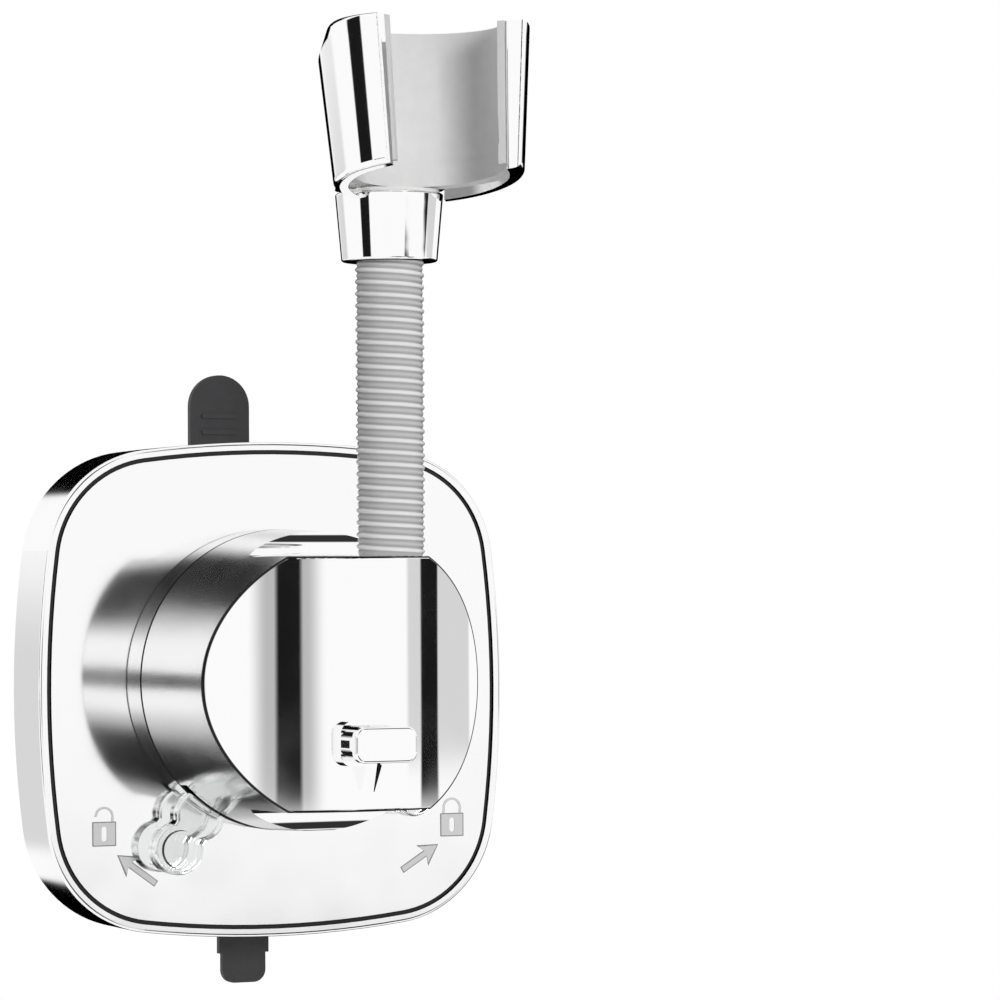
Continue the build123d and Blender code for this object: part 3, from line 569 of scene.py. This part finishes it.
def studio_world():
    """A white studio with dark screens for the chrome to mirror; rays from the camera see plain white."""
    world = bpy.data.worlds.new("studio")
    scene.world = world
    world.use_nodes = True
    graph = Graph(world.node_tree)
    background = world.node_tree.nodes["Background"]
    output = world.node_tree.nodes["World Output"]
    place = graph.node("ShaderNodeTexCoord")
    x, y, z = graph.split(place.outputs["Generated"])
    turned = graph.math("ARCTAN2", x, graph.math("MULTIPLY", y, -1.0))
    azimuth = graph.math("MULTIPLY", turned, 180 / pi)
    elevation = graph.math("MULTIPLY", graph.math("ARCSINE", z), 180 / pi)

    facing = graph.math("COSINE", graph.math("SUBTRACT", turned, radians(behind_azimuth)))
    edge = cos(radians(behind_half_width))
    dark = graph.math("MULTIPLY", graph.ramp(facing, edge - behind_softness, edge + behind_softness),
                      graph.inside(elevation, behind_low, behind_high, 2.0))
    for az_low, az_high, az_soft, el_low, el_high, el_soft, depth in dark_screens:
        screen = graph.math("MULTIPLY", graph.inside(azimuth, az_low, az_high, az_soft),
                            graph.inside(elevation, el_low, el_high, el_soft))
        dark = graph.math("MAXIMUM", dark, graph.math("MULTIPLY", screen, depth))
    mirrored = graph.math("SUBTRACT", 1.0, dark)
    across = graph.math("ADD", graph.math("MULTIPLY", x, sin(radians(behind_azimuth))),
                        graph.math("MULTIPLY", y, -cos(radians(behind_azimuth))))
    turned_aside = graph.inside(across, 0.3, 0.84, 0.04)
    refracted = graph.math("SUBTRACT", 1.0, graph.math("MULTIPLY", turned_aside, aside_depth))
    rays = graph.node("ShaderNodeLightPath")
    strength = mirrored
    for kind, level in (("Is Transmission Ray", refracted), ("Is Diffuse Ray", fill_level),
                        ("Is Camera Ray", 1.0)):
        chosen = rays.outputs[kind]
        kept = graph.math("MULTIPLY", strength, graph.math("SUBTRACT", 1.0, chosen))
        strength = graph.math("ADD", kept, graph.math("MULTIPLY", chosen, level))
    background.inputs["Color"].default_value = (1.0, 1.0, 1.0, 1.0)
    graph.feed(background.inputs["Strength"], strength)
    graph.tree.links.new(background.outputs[0], output.inputs[0])


def add_floor():
    """A plain pale floor well below the object."""
    mesh = bpy.data.meshes.new("floor")
    half = floor_half_size
    corners = [(-half, -half, floor_z), (half, -half, floor_z), (half, half, floor_z), (-half, half, floor_z)]
    mesh.from_pydata(corners, [], [(0, 1, 2, 3)])
    floor = bpy.data.objects.new("floor", mesh)
    scene.collection.objects.link(floor)
    made, graph, shader = new_material("floor_paint")
    shader.inputs["Base Color"].default_value = (0.8, 0.8, 0.8, 1.0)
    shader.inputs["Roughness"].default_value = 0.9
    rays = graph.node("ShaderNodeLightPath")
    seen = graph.math("MAXIMUM", rays.outputs["Is Camera Ray"], rays.outputs["Is Glossy Ray"])
    seen = graph.math("MAXIMUM", seen, rays.outputs["Is Transmission Ray"])
    glow = graph.node("ShaderNodeEmission")
    glow.inputs["Strength"].default_value = 1.0
    mix = graph.node("ShaderNodeMixShader")
    graph.feed(mix.inputs[0], seen)
    graph.feed(mix.inputs[1], shader.outputs[0])
    graph.feed(mix.inputs[2], glow.outputs[0])
    graph.feed(made.node_tree.nodes["Material Output"].inputs[0], mix.outputs[0])
    paint(floor, made)
    floor.visible_glossy = False


def add_lamp(name, place, aim, size, power):
    """A soft square lamp that looks at a point."""
    data = bpy.data.lights.new(name, "AREA")
    data.size = size
    data.energy = power
    lamp = bpy.data.objects.new(name, data)
    scene.collection.objects.link(lamp)
    place = Vector(place)
    lamp.location = place
    lamp.rotation_euler = (Vector(aim) - place).to_track_quat("-Z", "Y").to_euler()
    lamp.visible_glossy = False


add_camera()
studio_world()
add_floor()
add_lamp("key", (0.02, -1.2, 0.3), lamp_aim, 0.3, 9.0)
add_lamp("back", (-0.25, 0.55, 0.75), lamp_aim, 0.5, 3.0)

chrome = metal("chrome", (0.96, 0.96, 0.96), 0.02, 0.05)
plate_chrome = plate_chrome_with_groove_shade("plate_chrome")
drum_chrome = drum_chrome_with_painted_lines("drum_chrome")
steel = metal("steel", (0.55, 0.56, 0.57), 0.25, 0.4, 300.0, 0.1)
rubber = plastic("pad_rubber", (0.035, 0.035, 0.037), 0.5, 0.65)
white_plastic = plastic("white_plastic", (0.8, 0.8, 0.78), 0.4, 0.5)
# The sleeve's grey, painted darker in the rib valleys as shade and lighter on the crests as highlight
sleeve_plastic = rib_shaded_plastic("sleeve_plastic", (0.42, 0.42, 0.42), (0.84, 0.84, 0.84))
liner_plastic = plastic("liner_plastic", (0.72, 0.72, 0.72), 0.35, 0.45)
clear = clear_plastic("clear_plastic")

looks = {
    "plate_chrome": plate_chrome,
    "drum_chrome": drum_chrome,
    "cradle_chrome": chrome,
    "hook_chrome": chrome,
    "pad_rubber": rubber,
    "steel": steel,
    "white_plastic": white_plastic,
    "clear_plastic": clear,
    "sleeve_plastic": sleeve_plastic,
    "liner_plastic": liner_plastic,
}
for part in frame["record"]["subparts"]:
    paint(nodes[part["node"]], looks[part["material_slot"]])

build_neck(sleeve_plastic, steel)
flexing_copy("suction_pad", rubber)
flexing_copy("disc_spring", steel)
build_marks()
